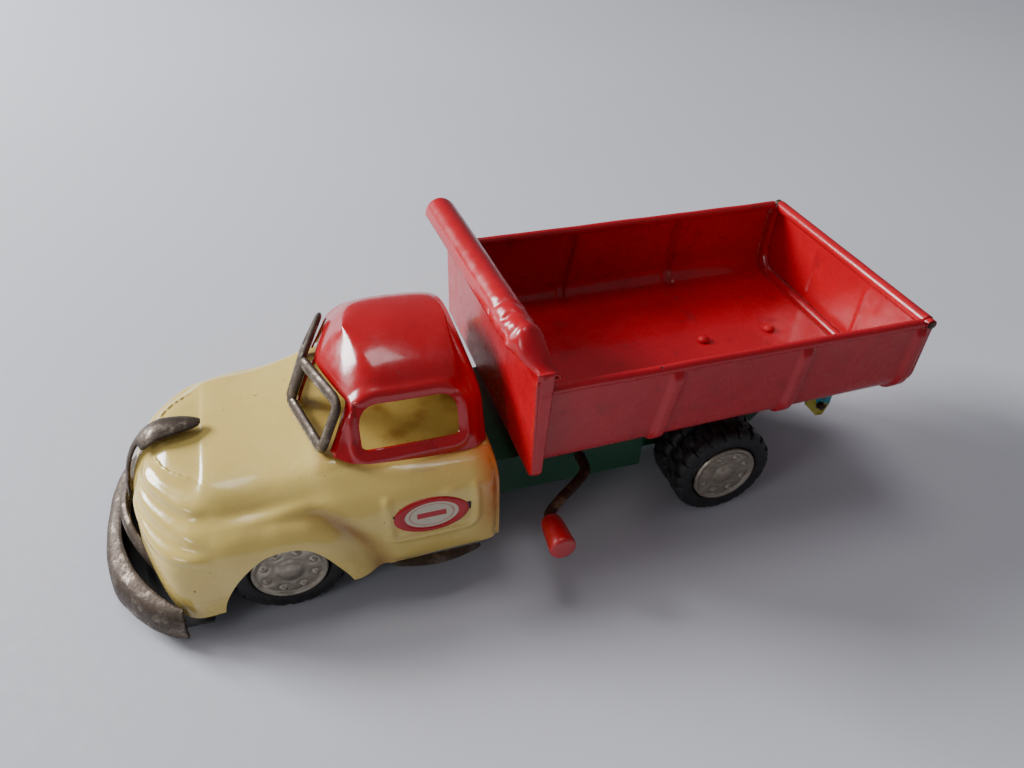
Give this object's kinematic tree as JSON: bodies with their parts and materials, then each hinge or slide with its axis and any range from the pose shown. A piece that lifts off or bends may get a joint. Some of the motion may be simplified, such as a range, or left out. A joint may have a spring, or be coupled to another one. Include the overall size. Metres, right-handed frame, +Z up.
{
  "type": "toy dump truck",
  "caption": "Pressed-tin toy dump truck with a rounded bonnet, vee windscreen, crank-raised open bed, curled headboard, swinging tailgate and dual rear wheels.",
  "frame": {"origin": "on the floor, under the middle of the truck's overall box", "axes": "-Y is the truck's front, +Y its tailgate, +X its left side, which carries the crank, and +Z is up"},
  "size_m": [0.0754, 0.1848, 0.0639],
  "materials": {
    "cream_enamel": "gloss enamel with orange airbrushed fades, chips and grime",
    "red_enamel": "gloss enamel, scratched and speckled",
    "badge_print": "printed oval: red rim round an off-white field",
    "green_enamel": "satin enamel",
    "tarnished_plate": "dull, brown tarnished plating",
    "hub_metal": "dull tarnished plating",
    "black_rubber": "matt, moulded tread",
    "steel_wire": "rusted wire",
    "black_enamel": "black enamel, dusty",
    "printed_tin": "reused printed tin, teal and yellow",
    "red_plastic": "moulded, slightly worn"
  },
  "bodies": {
    "truck": {"chassis": "green_enamel", "front_apron": "black_enamel", "cab_body": "cream_enamel", "cab_roof": "red_enamel", "windscreen_frame": "tarnished_plate", "bonnet_ornament": "tarnished_plate", "grille_bar": "tarnished_plate", "bumper": "tarnished_plate", "running_board_left": "tarnished_plate", "running_board_right": "tarnished_plate", "badge_left": "badge_print", "badge_right": "badge_print", "hinge_pin": "steel_wire"},
    "front_wheels": {"front_axle": "steel_wire", "front_tyre_left": "black_rubber", "front_tyre_right": "black_rubber", "front_hub_cap_left": "hub_metal", "front_hub_cap_right": "hub_metal"},
    "rear_wheels": {"rear_axle": "steel_wire", "rear_outer_tyre_left": "black_rubber", "rear_outer_tyre_right": "black_rubber", "rear_inner_tyre_left": "black_rubber", "rear_inner_tyre_right": "black_rubber", "rear_hub_cap_left": "hub_metal", "rear_hub_cap_right": "hub_metal", "rear_inner_hub_left": "hub_metal", "rear_inner_hub_right": "hub_metal"},
    "bed": {"bed_tub": "red_enamel", "headboard": "red_enamel", "hinge_bracket": "printed_tin", "bed_rivet_front": "red_enamel", "bed_rivet_rear": "red_enamel", "tailgate_pin_left": "tarnished_plate", "tailgate_pin_right": "tarnished_plate"},
    "tailgate": {"tailgate": "red_enamel"},
    "crank": {"crank_shaft": "steel_wire", "crank_grip": "red_plastic"}
  },
  "joints": [
    {"name": "front_axle_spin", "type": "hinge", "parent": "truck", "child": "front_wheels", "pos_m": [-0.00435, -0.05318, 0.0125], "axis": [1, 0, 0], "continuous": true},
    {"name": "rear_axle_spin", "type": "hinge", "parent": "truck", "child": "rear_wheels", "pos_m": [-0.00435, 0.04954, 0.0125], "axis": [1, 0, 0], "continuous": true},
    {"name": "bed_tilt", "type": "hinge", "parent": "truck", "child": "bed", "pos_m": [-0.00435, 0.08115, 0.0193], "axis": [-1, 0, 0], "range_deg": [0, 40]},
    {"name": "crank_turn", "type": "hinge", "parent": "truck", "child": "crank", "pos_m": [-0.00435, 0.01535, 0.018], "axis": [-1, 0, 0], "range_deg": [0, 100]},
    {"name": "tailgate_swing", "type": "hinge", "parent": "bed", "child": "tailgate", "pos_m": [-0.00435, 0.09105, 0.0508], "axis": [1, 0, 0], "range_deg": [0, 75]}
  ],
  "couplings": [
    {"joint": "crank_turn", "follows": "bed_tilt", "ratio": 2.5}
  ]
}
